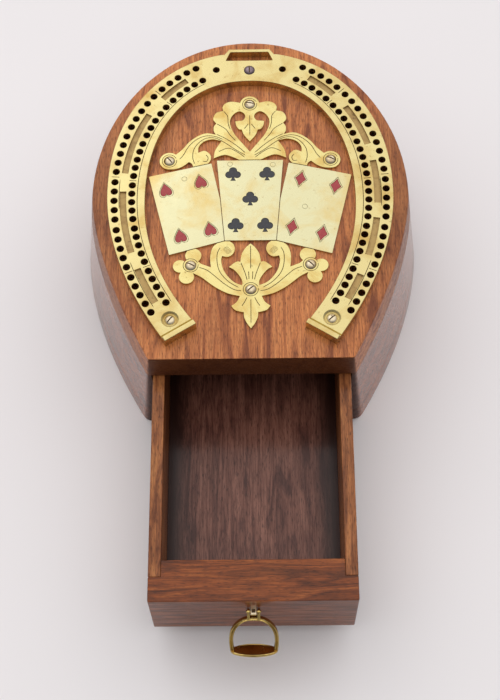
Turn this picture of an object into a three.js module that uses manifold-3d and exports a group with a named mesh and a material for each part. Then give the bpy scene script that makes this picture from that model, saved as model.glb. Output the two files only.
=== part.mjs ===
// Horseshoe cribbage board: a hoof-shaped wooden case with a card drawer, a brass horseshoe drilled
// for the score pegs, a brass hand of three playing cards held by two pierced frets, and a stirrup pull.
// Millimetres. +Z is up, +X is right and +Y runs from the drawer to the toe of the horseshoe.
// The origin is the middle of the underside of the base board. The drawer is modelled pulled open.

import * as THREE from 'three';
import { mergeVertices } from 'three/addons/utils/BufferGeometryUtils.js';
import Module from 'manifold-3d';

// ---------------------------------------------------------------- driving dimensions

const CASE_HEIGHT = 90;
const CASE_DEPTH = 231;
const BASE_THICKNESS = 14.5;
const TOP_THICKNESS = 21.5;

// A plan outline has a straight front, sides that swell to their widest, and an elliptical back.
const TOP_PLAN = { front: 58.5, widest: 94.5, widestAt: 108, back: 220, swell: 1.6 };
const FOOT_PLAN = { front: 66, widest: 106, widestAt: 118, back: CASE_DEPTH, swell: 1.8 };

const BAY_HALF_WIDTH = 58.25;
const BAY_DEPTH = 190;

const DRAWER_OPENED = 134;
const DRAWER_LENGTH = 178;
const DRAWER_HALF_WIDTH = 57.5;
const DRAWER_FLOOR_GAP = 0.5;
const DRAWER_HEIGHT = 52;
const DRAWER_SIDE = 7;
const DRAWER_FRONT = 23.5;
const DRAWER_FRONT_LIP = 14;
const DRAWER_BACK = 7;
const DRAWER_BOTTOM = 6;

const SHOE_THICKNESS = 5.5;
const CALK_HEIGHT = 1.75;
const CALK_WIDTH = 3.2;
const CALK_GROOVE = { width: 1.5, depth: 0.75 };
const FULLER_GROOVE = { width: 4, depth: 1.25 };
const PLATE_THICKNESS = 1.5;
const GAP = 0.3;

// Each curve of the horseshoe runs from the heel, out to its widest, and round to the toe.
const SHOE_OUTER = { widest: 85, widestAt: 108, heelX: 48.65, heelY: 8.2, low: 1.95, toe: 208.5, high: 2.15 };
const SHOE_INNER = { widest: 62.5, widestAt: 102, heelX: 31.1, heelY: 19.2, low: 2.1, toe: 187, high: 2.2 };
const OUTER_ROW = { widest: 80.8, widestAt: 107, heelX: 57.1, heelY: 27.3, low: 2.13, toe: 204, high: 2.1 };
const INNER_ROW = { widest: 70.35, widestAt: 105, heelX: 48.6, heelY: 33.5, low: 1.95, toe: 195, high: 2.05 };
const OUTER_ROW_END = 32.8;
const INNER_ROW_END = 28.6;

const PEG_GROUPS = 6;
const PEGS_IN_GROUP = 5;
const GROUP_GAP = 1.13;
const PEG_RADIUS = 2.1;
const PEG_DEPTH = 12;
const PEG_SIDES = 6;
const GAME_PEG = { x: 20.5, y: 195.5 };

// Stretches of the fuller grooves along each leg, as [nearer the toe, nearer the heel] in Y.
const LEFT_FULLERS = [[189, 174], [165, 120], [109, 66], [56.5, 33]];
const RIGHT_FULLERS = [[190, 176], [168, 139.5], [128.6, 98.4], [88.4, 63], [50.8, 34.3]];

const CLIP = { lowHalf: 17.2, lowY: 204.5, highHalf: 12.6, highY: 210.9 };
const CLIP_SLOT = { lowHalf: 14.6, lowY: 202.4, highHalf: 11.8, highY: 208.8 };

const SCREW = { head: 3.4, dome: 1.75, shank: 1.7, length: 12, slot: 0.8, slotDepth: 0.75 };
const SLOT_ANGLES = { toe: 1.6, heels: [0.9, 0.7], crest: [-0.1, -0.85, -0.4], foot: [0.7, -0.45, -0.75] };
const HEEL_SCREW = { x: 46.2, y: 22.8 };
const HEEL_COUNTERBORE = { radius: 3.75, depth: 1.5 };
const TOE_SCREW_Y = 195;
const CREST_SCREWS = [[0, 172.3], [-48.65, 131.7], [48.65, 131.7]];
const FOOT_SCREWS = [[0, 43.6], [-35, 59.7], [35, 59.7]];
const CARD_PIN = { radius: 1.5, length: 8 };
const CARD_PINS = [[-39.4, 118.9], [-12, 129], [13.8, 128.3], [32.5, 98.8]];
const CARD_TILT = THREE.MathUtils.degToRad(13.35);
const HEARTS = [[-50.6, 111.4], [-29.8, 117], [-41.3, 79.6], [-23.8, 84.1]];
const CLUBS = [[-10.2, 122], [10.2, 122], [0, 104.7], [-8.7, 86.5], [8.7, 86.5]];
const DIAMONDS = [[30.3, 118.2], [51.2, 112.9], [24.6, 85], [42.2, 80.3]];

const PIVOT = { out: 2.05, height: 38.5 };
const POST = { half: 1.75, out: 4.25, inside: 10 };
const PIN = { radius: 0.75, bore: 0.95, half: 4.25 };
const PRONG = { inner: 2.1, outer: 3.6, half: 1.75, length: 4.2 };
const STIRRUP_TREAD = { half: 13.25, depth: 5.3, thickness: 1.6, drop: 26.6 };
const STIRRUP_SWING = THREE.MathUtils.degToRad(38);

// ---------------------------------------------------------------- materials

function paint(color, roughness, metalness) {
  return new THREE.MeshStandardMaterial({ color, roughness, metalness });
}

const TOP_WOOD = paint(0x8a4f33, 0.4, 0);
const CASE_WOOD = paint(0x5b3524, 0.45, 0);
const DRAWER_WOOD = paint(0x7a4a2c, 0.5, 0);
const DARK_WOOD = paint(0x3a1f16, 0.6, 0);
const BRASS = paint(0xd9c37a, 0.25, 1);
const STEEL = paint(0xb9b3a8, 0.3, 1);
const RED_ENAMEL = paint(0xa8323a, 0.35, 0);
const BLACK_ENAMEL = paint(0x23252e, 0.35, 0);

// ---------------------------------------------------------------- solids

const wasm = await Module();
wasm.setup();

// Merges shared corners and drops triangles that have no area.
function weld(geometry) {
  const bare = geometry.clone();
  bare.deleteAttribute('normal');
  bare.deleteAttribute('uv');
  const merged = mergeVertices(bare, 1e-4);
  const index = merged.index.array;
  const kept = [];
  for (let i = 0; i < index.length; i += 3) {
    const [a, b, c] = [index[i], index[i + 1], index[i + 2]];
    if (a !== b && b !== c && c !== a) kept.push(a, b, c);
  }
  merged.setIndex(kept);
  return merged;
}

function solid(geometry) {
  const welded = weld(geometry);
  return new wasm.Manifold(new wasm.Mesh({
    numProp: 3,
    vertProperties: new Float32Array(welded.attributes.position.array),
    triVerts: new Uint32Array(welded.index.array),
  }));
}

function surface(manifold) {
  const mesh = manifold.getMesh();
  const geometry = new THREE.BufferGeometry();
  geometry.setAttribute('position', new THREE.BufferAttribute(mesh.vertProperties, 3));
  geometry.setIndex(new THREE.BufferAttribute(mesh.triVerts, 1));
  return geometry;
}

function piece(name, geometry, material) {
  const mesh = new THREE.Mesh(weld(geometry), material);
  mesh.name = name;
  return mesh;
}

function box(x0, x1, y0, y1, z0, z1) {
  const geometry = new THREE.BoxGeometry(x1 - x0, y1 - y0, z1 - z0);
  return geometry.translate((x0 + x1) / 2, (y0 + y1) / 2, (z0 + z1) / 2);
}

// A plate, or several, standing between two heights. Its outlines are lists of points or shapes.
function plate(outlines, z0, z1) {
  const geometry = new THREE.ExtrudeGeometry(outlines, { depth: z1 - z0, bevelEnabled: false, steps: 1 });
  return geometry.translate(0, 0, z0);
}

function shape(points) {
  return new THREE.Shape(points.map(([x, y]) => new THREE.Vector2(x, y)));
}

function disc([x, y], radius, sides = 10) {
  return shape(arc(x, y, radius, 0, 360 - 360 / sides, sides - 1));
}

// A rod along X.
function rod(radius, x0, x1, y, z, sides = 12) {
  const geometry = new THREE.CylinderGeometry(radius, radius, x1 - x0, sides);
  return geometry.rotateZ(Math.PI / 2).translate((x0 + x1) / 2, y, z);
}

// ---------------------------------------------------------------- outlines

// Points on an arc, with its angles in degrees.
function arc(x, y, radius, from, to, steps) {
  const points = [];
  for (let i = 0; i <= steps; i += 1) {
    const angle = THREE.MathUtils.degToRad(from + (to - from) * i / steps);
    points.push([x + radius * Math.cos(angle), y + radius * Math.sin(angle)]);
  }
  return points;
}

// A smooth stretch through a few points.
function smooth(...points) {
  const curve = new THREE.SplineCurve(points.map(([x, y]) => new THREE.Vector2(x, y)));
  return curve.getPoints((points.length - 1) * 2).map(({ x, y }) => [x, y]);
}

// Joins stretches end to end, leaving out a point that repeats the one before it.
function joined(...stretches) {
  const points = [];
  for (const point of stretches.flat()) {
    const last = points.at(-1);
    if (!last || Math.hypot(point[0] - last[0], point[1] - last[1]) > 0.02) points.push(point);
  }
  return points;
}

const mirror = (points) => points.map(([x, y]) => [-x, y]).reverse();

// A closed outline from its right half, whose ends lie on the line X = 0.
const bothSides = (half) => [...half, ...mirror(half).slice(1, -1)];

const along = (angle, exponent) => Math.abs(angle) ** exponent;

// Right half of a plan outline, from the front corner round to the middle of the back.
function planHalf({ front, widest, widestAt, back, swell }) {
  const points = [];
  for (let i = 0; i < 10; i += 1) {
    const y = widestAt * i / 10;
    points.push([widest - (widest - front) * (1 - y / widestAt) ** swell, y]);
  }
  for (let i = 0; i <= 14; i += 1) {
    const angle = Math.PI / 2 * i / 14;
    points.push([widest * Math.cos(angle), widestAt + (back - widestAt) * Math.sin(angle)]);
  }
  points.at(-1)[0] = 0;
  return points;
}

// The case's whole outline at a height, on straight lines from the foot's outline to the top's.
function planAt(height) {
  const low = planHalf(FOOT_PLAN);
  const high = planHalf(TOP_PLAN);
  const t = height / CASE_HEIGHT;
  const half = low.map(([x, y], i) => [x + (high[i][0] - x) * t, y + (high[i][1] - y) * t]);
  return [...half, ...mirror(half).slice(1)];
}

// A slice of the flared case between two heights.
function caseSlice(z0, z1) {
  const low = planAt(z0);
  const high = planAt(z1);
  const count = low.length;
  const corners = [...low.map(([x, y]) => [x, y, z0]), ...high.map(([x, y]) => [x, y, z1])];
  const index = [];
  for (const [a, b, c] of THREE.ShapeUtils.triangulateShape(shape(low).getPoints(), [])) index.push(c, b, a);
  for (const [a, b, c] of THREE.ShapeUtils.triangulateShape(shape(high).getPoints(), [])) {
    index.push(a + count, b + count, c + count);
  }
  for (let i = 0; i < count; i += 1) {
    const j = (i + 1) % count;
    index.push(i, j, j + count, i, j + count, i + count);
  }
  const geometry = new THREE.BufferGeometry();
  geometry.setAttribute('position', new THREE.Float32BufferAttribute(corners.flat(), 3));
  geometry.setIndex(index);
  return geometry;
}

// Right half of a curve of the horseshoe, from the heel to the toe.
function legCurve({ widest, widestAt, heelX, heelY, low, toe, high }, lowSteps = 12, highSteps = 15) {
  const points = [];
  for (let i = 0; i < lowSteps; i += 1) {
    const y = heelY + (widestAt - heelY) * i / lowSteps;
    points.push([widest - (widest - heelX) * ((widestAt - y) / (widestAt - heelY)) ** low, y]);
  }
  for (let i = 0; i <= highSteps; i += 1) {
    const angle = Math.PI / 2 * i / highSteps;
    const x = widest * along(Math.cos(angle), 2 / high);
    points.push([x, widestAt + (toe - widestAt) * along(Math.sin(angle), 2 / high)]);
  }
  points.at(-1)[0] = 0;
  return points;
}

// A curve midway between two curves of the horseshoe.
function between(a, b) {
  const middle = {};
  for (const key of Object.keys(a)) middle[key] = (a[key] + b[key]) / 2;
  return middle;
}

// The peg centres of one row: equal groups at one pitch, with a wider step between the groups.
function pegRow(curve, endX) {
  const line = legCurve(curve, 60, 120).filter(([x, y]) => x >= endX || y < curve.widestAt);
  const lengths = [0];
  for (let i = 1; i < line.length; i += 1) {
    lengths.push(lengths[i - 1] + Math.hypot(line[i][0] - line[i - 1][0], line[i][1] - line[i - 1][1]));
  }
  const steps = PEG_GROUPS * (PEGS_IN_GROUP - 1) + (PEG_GROUPS - 1) * GROUP_GAP;
  const pitch = lengths.at(-1) / steps;
  const pegs = [];
  let reach = 0;
  for (let n = 0; n < PEG_GROUPS * PEGS_IN_GROUP; n += 1) {
    const i = Math.max(1, lengths.findIndex((length) => length >= reach - 1e-6));
    const [[x0, y0], [x1, y1]] = [line[i - 1], line[i]];
    const t = (reach - lengths[i - 1]) / (lengths[i] - lengths[i - 1]);
    pegs.push([x0 + t * (x1 - x0), y0 + t * (y1 - y0)]);
    reach += pitch * ((n + 1) % PEGS_IN_GROUP === 0 ? GROUP_GAP : 1);
  }
  return pegs;
}

const onBothLegs = (points) => [...points, ...mirror(points)];
const PEG_CENTRES = [
  ...onBothLegs(pegRow(OUTER_ROW, OUTER_ROW_END)),
  ...onBothLegs(pegRow(INNER_ROW, INNER_ROW_END)),
  ...onBothLegs([[GAME_PEG.x, GAME_PEG.y]]),
];

// ---------------------------------------------------------------- wooden case

function caseBoards() {
  const wallTop = CASE_HEIGHT - TOP_THICKNESS;
  const screwed = [[0, TOE_SCREW_Y], [-HEEL_SCREW.x, HEEL_SCREW.y], [HEEL_SCREW.x, HEEL_SCREW.y]];
  const pilots = [...screwed, ...CREST_SCREWS, ...FOOT_SCREWS].map((at) => disc(at, SCREW.shank + GAP, 8));
  const pinHoles = CARD_PINS.map((at) => disc(at, CARD_PIN.radius + GAP, 8));
  const pegHoles = PEG_CENTRES.map((at) => disc(at, PEG_RADIUS, PEG_SIDES));
  const top = solid(caseSlice(wallTop, CASE_HEIGHT))
    .subtract(solid(plate(pegHoles, CASE_HEIGHT - PEG_DEPTH, CASE_HEIGHT + 1)))
    .subtract(solid(plate([...pilots, ...pinHoles], CASE_HEIGHT - SCREW.length - 1, CASE_HEIGHT + 1)));
  const walls = solid(caseSlice(BASE_THICKNESS, wallTop));
  const [low, high, far] = [BASE_THICKNESS - 1, wallTop + 1, CASE_DEPTH];
  const right = walls.intersect(solid(box(BAY_HALF_WIDTH, far, -1, far, low, high)));
  const left = walls.intersect(solid(box(-far, -BAY_HALF_WIDTH, -1, far, low, high)));
  const back = walls.intersect(solid(box(-BAY_HALF_WIDTH, BAY_HALF_WIDTH, BAY_DEPTH, far, low, high)));
  return [
    piece('base_board', caseSlice(0, BASE_THICKNESS), CASE_WOOD),
    piece('side_block_left', surface(left), CASE_WOOD),
    piece('side_block_right', surface(right), CASE_WOOD),
    piece('back_block', surface(back), CASE_WOOD),
    piece('top_board', surface(top), TOP_WOOD),
  ];
}

// ---------------------------------------------------------------- brass horseshoe

function trapezoid({ lowHalf, lowY, highHalf, highY }) {
  return shape([[-lowHalf, lowY], [lowHalf, lowY], [highHalf, highY], [-highHalf, highY]]);
}

// A band of even width along part of a leg. The side is 1 on the right leg and -1 on the left.
function fullerGroove([toeY, heelY], side) {
  const line = legCurve(between(OUTER_ROW, INNER_ROW), 40, 60).filter(([, y]) => y <= toeY && y >= heelY);
  const picked = line.filter((point, i) => i % 4 === 0 || i === line.length - 1);
  const edges = [[], []];
  picked.forEach(([x, y], i) => {
    const [before, after] = [picked[Math.max(i - 1, 0)], picked[Math.min(i + 1, picked.length - 1)]];
    const normal = new THREE.Vector2(after[1] - before[1], before[0] - after[0]);
    normal.setLength(FULLER_GROOVE.width / 2);
    edges[0].push([side * (x + normal.x), y + normal.y]);
    edges[1].unshift([side * (x - normal.x), y - normal.y]);
  });
  return shape(edges.flat());
}

// A straight strip across a heel, at a distance up the leg from its end.
function heelStrip(start, width, side) {
  const inner = new THREE.Vector2(SHOE_INNER.heelX, SHOE_INNER.heelY);
  const outer = new THREE.Vector2(SHOE_OUTER.heelX, SHOE_OUTER.heelY);
  const across = outer.clone().sub(inner).setLength(2);
  const up = new THREE.Vector2(-across.y, across.x).normalize();
  const far = start + width;
  const corners = [[inner, -1, start], [outer, 1, start], [outer, 1, far], [inner, -1, far]];
  return shape(corners.map(([end, sign, rise]) => {
    const point = end.clone().addScaledVector(across, sign).addScaledVector(up, rise);
    return [side * point.x, point.y];
  }));
}

function horseshoe() {
  const outer = legCurve(SHOE_OUTER);
  const inner = legCurve(SHOE_INNER);
  const innerLeft = inner.map(([x, y]) => [-x, y]);
  const outline = shape([...outer, ...mirror(outer).slice(1), ...innerLeft, ...inner.reverse().slice(1)]);
  const top = SHOE_THICKNESS;
  const strips = (start, width) => [heelStrip(start, width, 1), heelStrip(start, width, -1)];
  const calks = solid(plate(strips(-1, CALK_WIDTH + 1), top - 1, top + CALK_HEIGHT))
    .intersect(solid(plate([outline], 0, top + CALK_HEIGHT)));
  const heelScrews = onBothLegs([[HEEL_SCREW.x, HEEL_SCREW.y]]);
  const pegHoles = PEG_CENTRES.map((at) => disc(at, PEG_RADIUS, PEG_SIDES));
  const screwHoles = [...heelScrews, [0, TOE_SCREW_Y]].map((at) => disc(at, SCREW.shank + GAP, 8));
  const counterbores = heelScrews.map((at) => disc(at, HEEL_COUNTERBORE.radius, 12));
  const fullers = [
    ...LEFT_FULLERS.map((reach) => fullerGroove(reach, -1)),
    ...RIGHT_FULLERS.map((reach) => fullerGroove(reach, 1)),
  ];
  return surface(solid(plate([outline], 0, top))
    .add(solid(plate([trapezoid(CLIP)], 0, top)))
    .add(calks)
    .subtract(solid(plate([...pegHoles, ...screwHoles, trapezoid(CLIP_SLOT)], -1, top + 1)))
    .subtract(solid(plate(counterbores, top - HEEL_COUNTERBORE.depth, top + 1)))
    .subtract(solid(plate(fullers, top - FULLER_GROOVE.depth, top + 1)))
    .subtract(solid(plate(strips(CALK_WIDTH, CALK_GROOVE.width), top - CALK_GROOVE.depth, top + 1))));
}

// ---------------------------------------------------------------- brass frets

// Right half of the crest, from the middle of its lower edge up to the top screw.
const CREST_EDGE = joined(
  [[0, 132], [6.5, 132]],
  smooth([6.5, 132], [14.8, 135.6], [22, 133.2]),
  smooth([22, 133.2], [21, 139.2], [17.3, 145.6]),
  smooth([17.3, 145.6], [22.6, 146.9], [27.9, 145.3], [31, 141.4], [31.2, 137.5]),
  smooth([31.2, 137.5], [27.4, 138.9], [24, 136], [23.6, 132.4], [25.2, 129.6]),
  smooth([34.4, 127.4], [35, 129.4], [36.8, 130.8]),
  smooth([36.8, 130.8], [40.6, 127.7], [44.6, 126], [48.65, 125.7]),
  arc(48.65, 131.7, 6, -90, 130, 12),
  smooth([44.8, 136.3], [40.6, 140.4], [36.6, 145.6], [30.9, 149.9], [26, 151.5], [20.8, 150.4]),
  smooth([20.8, 150.4], [22, 152.8], [22, 156.1], [20.5, 158.5]),
  smooth([20.5, 158.5], [22.3, 161], [22, 164], [20, 166.7], [16.3, 167.6]),
  smooth([16.3, 167.6], [16.7, 170.6], [14.7, 173.4], [11.1, 174.5], [5.9, 173.6]),
  arc(0, 172.3, 6, 12, 90, 5),
);

// Right half of the heart-shaped piercing, which leaves a leaf hanging in its middle.
const CREST_HEART = joined(
  smooth([0, 137.9], [5, 144.6], [9.1, 150.4], [11.5, 156.1], [11.9, 160.9], [9.9, 164.9], [6.6, 167.1],
    [3.8, 165.8], [2.8, 163.3], [4.2, 160.7], [7, 160.3], [8.9, 160]),
  smooth([8.9, 160], [8.3, 156.6], [6.8, 154.2], [4.9, 153.7]),
  smooth([4.9, 153.7], [3.6, 149.9], [0, 145.1]),
);

// Right half of the foot, from its lower tip up through the trefoil and the volute to its upper tip.
const FOOT_EDGE = joined(
  smooth([0, 18.3], [2.4, 21.8], [4, 25.6], [4.2, 28.8]),
  smooth([4.2, 28.8], [5.8, 29], [9.2, 30.2], [11.4, 32.9]),
  smooth([11.4, 32.9], [8.2, 35.5], [6.4, 39.2]),
  smooth([6.4, 39.2], [12.7, 40.8], [18.2, 43.6], [23.1, 47.1], [28.6, 51.7], [33.4, 54.4]),
  arc(37.3, 52.1, 4.5, 149, 400, 12),
  arc(41.2, 59.2, 4.2, 264, 493, 12),
  arc(33.5, 66.2, 4.8, -36, 44, 5),
  arc(33.5, 66.2, 4.8, 104, 232, 7),
  smooth([30.5, 62.4], [28.6, 60.7], [26.5, 59.8], [23.2, 58.4]),
  smooth([23.2, 58.4], [23.7, 63.2], [23.4, 67.8], [22, 72], [19.6, 74.4]),
  [[15.15, 75.7]],
  smooth([12.2, 75.7], [9.9, 73.6], [9.1, 70.1], [10.6, 66.7], [13.4, 65.1], [16.6, 65.7]),
  smooth([16.6, 65.7], [17.1, 63], [16.6, 59.5], [15.5, 56], [12.7, 51.6], [9.2, 48.2], [5, 46.4]),
  smooth([5, 46.4], [5.1, 49.4], [7.1, 53.2], [9.9, 56.6], [12.8, 58.3]),
  smooth([12.8, 58.3], [9.9, 60.9], [7.8, 62.1], [6, 61.8]),
  smooth([6, 61.8], [5.8, 64.2], [4.9, 67.8], [2.6, 71.6], [0, 74.1]),
);

function fret(edge, piercings, screws) {
  const holes = screws.map((at) => disc(at, SCREW.shank + GAP, 8));
  return surface(solid(plate([shape(bothSides(edge))], 0, PLATE_THICKNESS))
    .subtract(solid(plate([...piercings, ...holes], -1, PLATE_THICKNESS + 1))));
}

// ---------------------------------------------------------------- playing cards and their inlays

const CENTRE_CARD = bothSides([[0, 76.1], [15.15, 76.1], [20, 131.65], [0, 131.65]]);
const SIDE_CARD = [[15.45, 76], [47.75, 66.8], [60.9, 120.75], [23.25, 129.7], [17.95, 104.3]];

// Pips are drawn about their own middle. A margin widens one into the pocket that an inlay sits in.
function heartPip(margin = 0) {
  const grow = 1 + margin / 3.2;
  const half = new THREE.CurvePath();
  const at = (x, y) => new THREE.Vector2(x * grow, y * grow);
  half.add(new THREE.CubicBezierCurve(at(0, -2.7), at(0.5, -4.7), at(3.4, -4.6), at(3.4, -1.9)));
  half.add(new THREE.CubicBezierCurve(at(3.4, -1.9), at(3.3, 0.6), at(1.2, 2.2), at(0, 4.5)));
  return bothSides(half.getPoints(6).map(({ x, y }) => [x, y]));
}

function diamondPip(margin = 0) {
  const grow = 1 + margin / 2.6;
  return [[0, -4.9], [3.15, 0], [0, 4.9], [-3.15, 0]].map(([x, y]) => [x * grow, y * grow]);
}

function clubPip(margin = 0) {
  const radius = 2.25 + margin;
  const stem = 0.6 + margin;
  const foot = -4.6 - margin;
  const [side, top] = [{ x: 2.3, y: -0.5 }, { x: 0, y: 2.35 }];
  const degrees = THREE.MathUtils.radToDeg;
  const apart = Math.hypot(side.x - top.x, side.y - top.y);
  const towards = degrees(Math.atan2(top.y - side.y, top.x - side.x));
  const crossing = degrees(Math.acos(apart / 2 / radius));
  const start = degrees(Math.acos((side.x - stem) / radius)) - 180;
  const neck = side.y - Math.sqrt(radius ** 2 - (side.x - stem) ** 2);
  return bothSides(joined(
    [[0, foot], [1.5 + margin, foot]],
    smooth([1.5 + margin, foot], [stem + 0.2, -3.4], [stem, neck]),
    arc(side.x, side.y, radius, start, towards - crossing, 8),
    arc(top.x, top.y, radius, towards - 180 + crossing, 90, 4),
  ));
}

function placed(points, [x, y], turn) {
  const [c, s] = [Math.cos(turn), Math.sin(turn)];
  return points.map(([px, py]) => [x + c * px - s * py, y + s * px + c * py]);
}

function card(name, outline, pip, centres, turn, enamel) {
  const pockets = centres.map((at) => shape(placed(pip(GAP), at, turn)));
  const pinHoles = CARD_PINS.map((at) => disc(at, CARD_PIN.radius + GAP, 8));
  const body = solid(plate([shape(outline)], 0, PLATE_THICKNESS))
    .subtract(solid(plate([...pockets, ...pinHoles], -1, PLATE_THICKNESS + 1)));
  const suit = name.split('_')[0].replace(/s$/, '');
  const inlays = centres.map((at, i) => piece(`${suit}_inlay_${i + 1}`,
    plate([shape(placed(pip(), at, turn))], 0, PLATE_THICKNESS), enamel));
  return [piece(name, surface(body), BRASS), ...inlays];
}

function cards() {
  return [
    ...card('hearts_card', mirror(SIDE_CARD), heartPip, HEARTS, CARD_TILT, RED_ENAMEL),
    ...card('clubs_card', CENTRE_CARD, clubPip, CLUBS, 0, BLACK_ENAMEL),
    ...card('diamonds_card', SIDE_CARD, diamondPip, DIAMONDS, -CARD_TILT, RED_ENAMEL),
  ];
}

function cardPins() {
  return CARD_PINS.map((at, i) => piece(`card_pin_${i + 1}`,
    plate([disc(at, CARD_PIN.radius, 8)], -CARD_PIN.length, PLATE_THICKNESS), BRASS));
}

// ---------------------------------------------------------------- screws

// A slotted round-head screw whose head bears on a surface at the given height.
function screw(name, [x, y], seat, slotAngle, material) {
  const { head, dome, shank, length, slot, slotDepth } = SCREW;
  const profile = [[0, -length], [shank, -length], [shank, 0], [head, 0], [head * 0.9, dome * 0.5],
    [head * 0.6, dome * 0.88], [0, dome]];
  const body = new THREE.LatheGeometry(profile.map(([r, z]) => new THREE.Vector2(r, z)), 12);
  const cutter = box(-head - 1, head + 1, -slot / 2, slot / 2, dome - slotDepth, dome + 1);
  const cut = surface(solid(body.rotateX(Math.PI / 2)).subtract(solid(cutter.rotateZ(slotAngle))));
  const mesh = piece(name, cut, material);
  mesh.position.set(x, y, seat);
  return mesh;
}

function screws() {
  const heelSeat = SHOE_THICKNESS - HEEL_COUNTERBORE.depth;
  const { x, y } = HEEL_SCREW;
  const angles = SLOT_ANGLES;
  const fretScrews = (name, places) => ['middle', 'left', 'right'].map((side, i) => (
    screw(`${name}_screw_${side}`, places[i], PLATE_THICKNESS, angles[name][i], STEEL)));
  return [
    screw('toe_screw', [0, TOE_SCREW_Y], SHOE_THICKNESS, angles.toe, STEEL),
    screw('heel_screw_left', [-x, y], heelSeat, angles.heels[0], BRASS),
    screw('heel_screw_right', [x, y], heelSeat, angles.heels[1], BRASS),
    ...fretScrews('crest', CREST_SCREWS),
    ...fretScrews('foot', FOOT_SCREWS),
  ];
}

// ---------------------------------------------------------------- drawer

// The drawer in its own place: Y = 0 is its front face and Z = 0 is its underside.
function drawer() {
  const [half, height, length] = [DRAWER_HALF_WIDTH, DRAWER_HEIGHT, DRAWER_LENGTH];
  const inner = half - DRAWER_SIDE;
  const frontOutline = shape([[-half, 0], [half, 0], [half, DRAWER_FRONT_LIP], [inner, DRAWER_FRONT_LIP],
    [inner, DRAWER_FRONT], [-inner, DRAWER_FRONT], [-inner, DRAWER_FRONT_LIP], [-half, DRAWER_FRONT_LIP]]);
  const socket = POST.half + GAP;
  const front = solid(plate([frontOutline], 0, height))
    .subtract(solid(box(-socket, socket, -1, POST.inside + GAP, PIVOT.height - socket, PIVOT.height + socket)));
  const backStart = length - DRAWER_BACK;
  return [
    piece('drawer_front', surface(front), DRAWER_WOOD),
    piece('drawer_side_left', box(-half, -inner, DRAWER_FRONT_LIP, length, 0, height), DRAWER_WOOD),
    piece('drawer_side_right', box(inner, half, DRAWER_FRONT_LIP, length, 0, height), DRAWER_WOOD),
    piece('drawer_back', box(-inner, inner, backStart, length, DRAWER_BOTTOM, height), DARK_WOOD),
    piece('drawer_bottom', box(-inner, inner, DRAWER_FRONT, length, 0, DRAWER_BOTTOM), DARK_WOOD),
  ];
}

// ---------------------------------------------------------------- stirrup pull

// The post stands out of the drawer front and carries the hinge pin, which crosses it along X.
function pullPost() {
  const { half, out, inside } = POST;
  const post = solid(box(-half, half, -out, inside, -half, half))
    .subtract(solid(rod(PIN.bore, -half - 1, half + 1, -PIVOT.out, 0)))
    .subtract(solid(box(-1, 1, -out - 1, -out + 0.75, -1, 1)));
  return piece('pull_post', surface(post), BRASS);
}

function pullPin() {
  return piece('pull_pin', rod(PIN.radius, -PIN.half, PIN.half, -PIVOT.out, 0), BRASS);
}

// The stirrup hangs from the pin, with its own origin on the pin's axis.
function stirrup() {
  const right = [[0, -4.4], [5, -5.2], [9.2, -8.4], [11.8, -13.2], [12.7, -19.2], [12.1, -26.2]];
  const path = new THREE.CatmullRomCurve3([...mirror(right), ...right.slice(1)]
    .map(([x, z]) => new THREE.Vector3(x, 0, z)));
  const section = shape([[-1.2, -1.3], [1.2, -1.3], [1.2, 1.3], [-1.2, 1.3]]);
  const arch = new THREE.ExtrudeGeometry(section, { steps: 20, bevelEnabled: false, extrudePath: path });
  const { half, depth, thickness, drop } = STIRRUP_TREAD;
  const tread = new THREE.CylinderGeometry(1, 1, thickness, 24).rotateX(Math.PI / 2);
  tread.scale(half, depth, 1).translate(0, 0, -drop);
  let body = solid(arch).add(solid(tread));
  for (const side of [-1, 1]) {
    const [x0, x1] = [side * PRONG.inner, side * PRONG.outer].sort((a, b) => a - b);
    const prong = solid(box(x0, x1, -PRONG.half, PRONG.half, -PRONG.length, 0))
      .add(solid(rod(PRONG.half, x0, x1, 0, 0, 16)))
      .subtract(solid(rod(PIN.bore, x0 - 1, x1 + 1, 0, 0)));
    body = body.add(prong);
  }
  const mesh = piece('stirrup', surface(body), BRASS);
  mesh.position.set(0, -PIVOT.out, 0);
  mesh.rotation.x = -STIRRUP_SWING;
  return mesh;
}

// ---------------------------------------------------------------- assembly

function group(position, ...children) {
  const made = new THREE.Group();
  made.position.set(...position);
  made.add(...children);
  return made;
}

const heart = shape(bothSides(CREST_HEART));
const brasswork = group([0, 0, CASE_HEIGHT],
  piece('horseshoe', horseshoe(), BRASS),
  piece('crest_fret', fret(CREST_EDGE, [heart], CREST_SCREWS), BRASS),
  piece('foot_fret', fret(FOOT_EDGE, [], FOOT_SCREWS), BRASS),
  ...cards(),
  ...cardPins(),
  ...screws());
const pull = group([0, 0, PIVOT.height], pullPost(), pullPin(), stirrup());
const openDrawer = group([0, -DRAWER_OPENED, BASE_THICKNESS + DRAWER_FLOOR_GAP], ...drawer(), pull);

export default group([0, -CASE_DEPTH / 2, 0], ...caseBoards(), brasswork, openDrawer);
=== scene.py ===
"""The looks of the horseshoe cribbage board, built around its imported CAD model.

Shapes are drawn in millimetres with Y measured from the front face of the case and Z from its underside,
as in the CAD source, and every mesh is made in the row frame in metres.
"""

import math

import bmesh
import bpy
from mathutils import Matrix, Vector
from mathutils.geometry import delaunay_2d_cdt


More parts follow.
